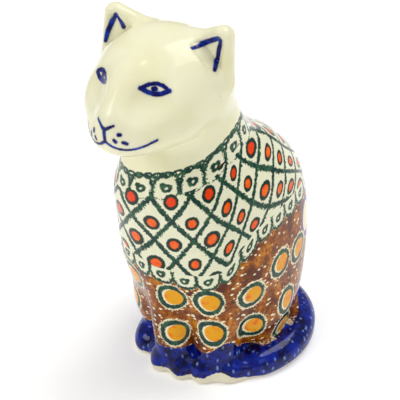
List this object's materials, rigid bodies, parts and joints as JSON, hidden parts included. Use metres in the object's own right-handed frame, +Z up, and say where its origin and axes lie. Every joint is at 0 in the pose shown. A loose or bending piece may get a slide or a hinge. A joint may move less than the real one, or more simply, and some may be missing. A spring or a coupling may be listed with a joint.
{
  "type": "souvenir cat figurine",
  "caption": "Hollow stoneware cat sitting upright on a thin foot, tail round its left side, to stand on a shelf as an ornament.",
  "frame": {"origin": "middle of the bounding box, on the surface that the cat stands on", "axes": "+Z up, -Y the way the cat faces, +X the cat's left side, where the tail lies"},
  "size_m": [0.078, 0.1042, 0.1545],
  "materials": {
    "cream_glaze": "cream glaze, glossy, with cobalt brush lines for the face and the ears",
    "painted_glaze": "glossy glaze over hand painting: a green lattice with red dots on cream, then amber peacock eyes on mottled brown",
    "cobalt_glaze": "sponged cobalt under a glossy glaze, with small pale specks",
    "bare_stoneware": "fired clay at the rim, thinly glazed outside and dry underneath"
  },
  "bodies": {
    "root": {"head_shell": "cream_glaze", "ear_right": "cream_glaze", "ear_left": "cream_glaze", "body_shell": "painted_glaze", "front_paw_right": "cobalt_glaze", "front_paw_left": "cobalt_glaze", "hind_paw_right": "cobalt_glaze", "hind_paw_left": "cobalt_glaze", "tail": "cobalt_glaze", "foot_disc": "bare_stoneware"}
  },
  "joints": []
}
